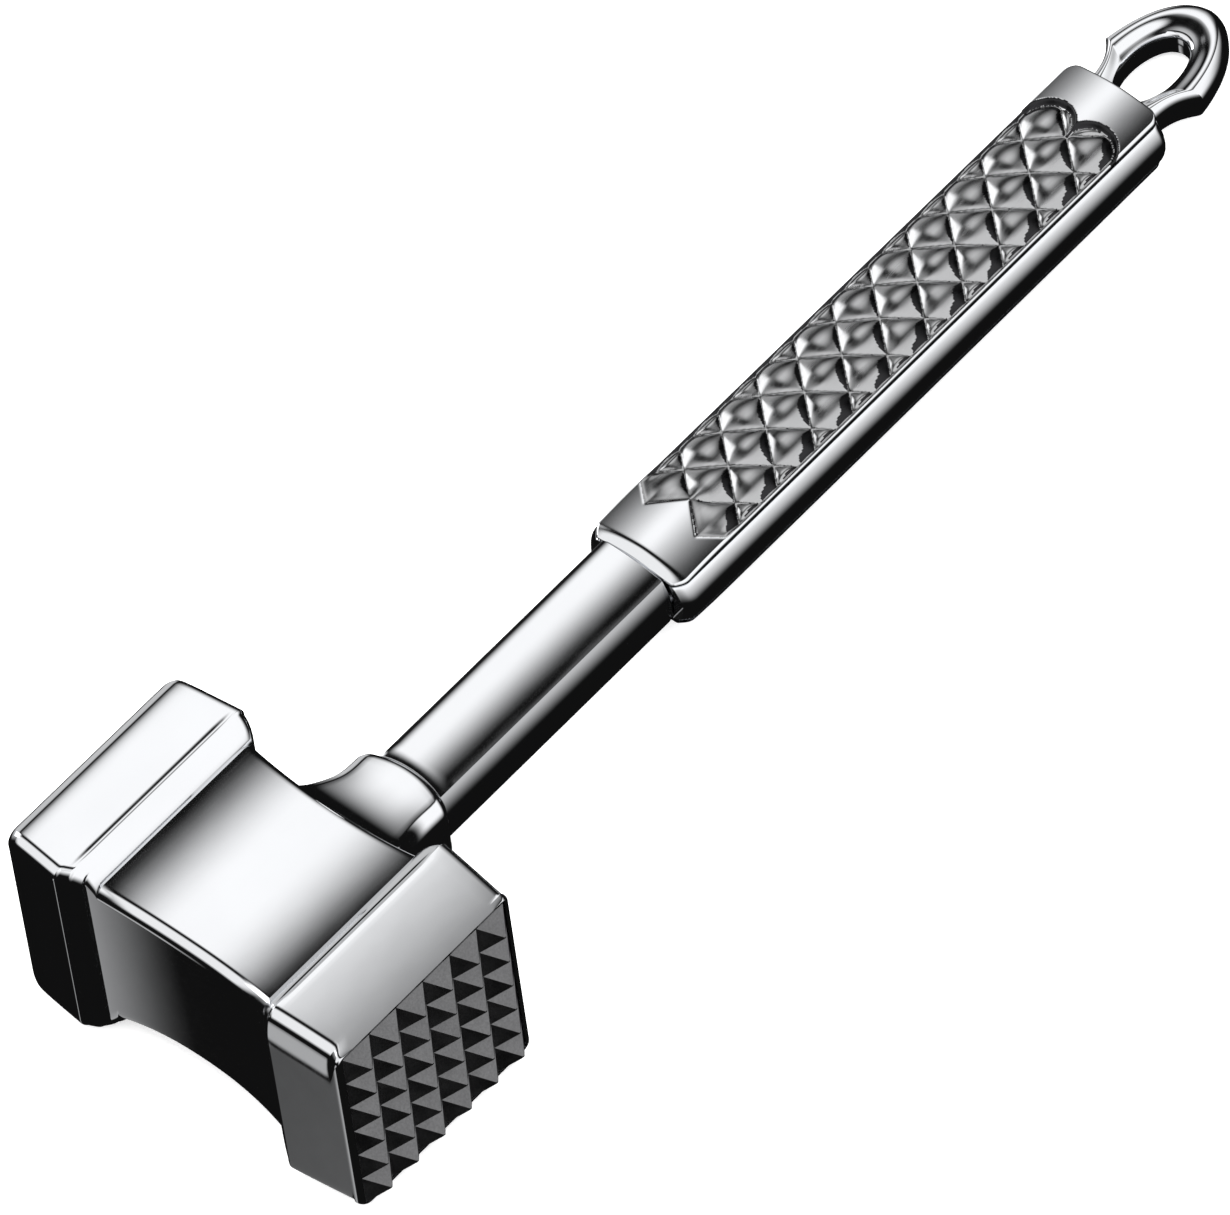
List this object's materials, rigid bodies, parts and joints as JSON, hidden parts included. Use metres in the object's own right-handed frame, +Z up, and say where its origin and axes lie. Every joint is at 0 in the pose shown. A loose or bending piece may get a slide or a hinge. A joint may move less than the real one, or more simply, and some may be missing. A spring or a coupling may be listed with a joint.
{
  "type": "meat mallet",
  "caption": "Bright-plated meat mallet: waisted block head with a toothed and a plain striking face, slim shank, quilted flat grip and a pointed hanging loop.",
  "frame": {"origin": "centre of the footprint at the underside of the head, on the plane the head rests on", "axes": "+X from the head along the handle to the hanging loop; +Y from the toothed face to the plain face; +Z up, out of the handle's broad face"},
  "size_m": [0.2764, 0.0802, 0.0468],
  "materials": {
    "head": "bright polished plating over cast metal",
    "teeth": "dull grey as-cast metal with dark recesses",
    "shank": "bright polished plating",
    "grip_frame": "bright polished plating",
    "grip_panel": "polished plating over a pressed diamond relief, a little softer in the grooves",
    "loop": "bright polished plating",
    "tie_rod": "plain drawn steel rod",
    "fastener": "plain turned steel"
  },
  "bodies": {
    "root": {"head_casting": "head", "tooth_plate": "teeth", "tooth_plate_pin_1": "fastener", "tooth_plate_pin_2": "fastener", "tooth_plate_pin_3": "fastener", "tooth_plate_pin_4": "fastener", "shank": "shank", "head_dowel_1": "fastener", "head_dowel_2": "fastener", "grip_dowel_1": "fastener", "grip_dowel_2": "fastener", "grip_core": "grip_frame", "upper_grip_panel": "grip_panel", "lower_grip_panel": "grip_panel", "grip_panel_pin_1": "fastener", "grip_panel_pin_2": "fastener", "grip_panel_pin_3": "fastener", "grip_panel_pin_4": "fastener", "tie_rod": "tie_rod", "flat_washer": "fastener", "spring_washer": "fastener", "tie_rod_nut": "fastener", "hanging_loop": "loop", "loop_pin": "fastener"}
  },
  "joints": []
}
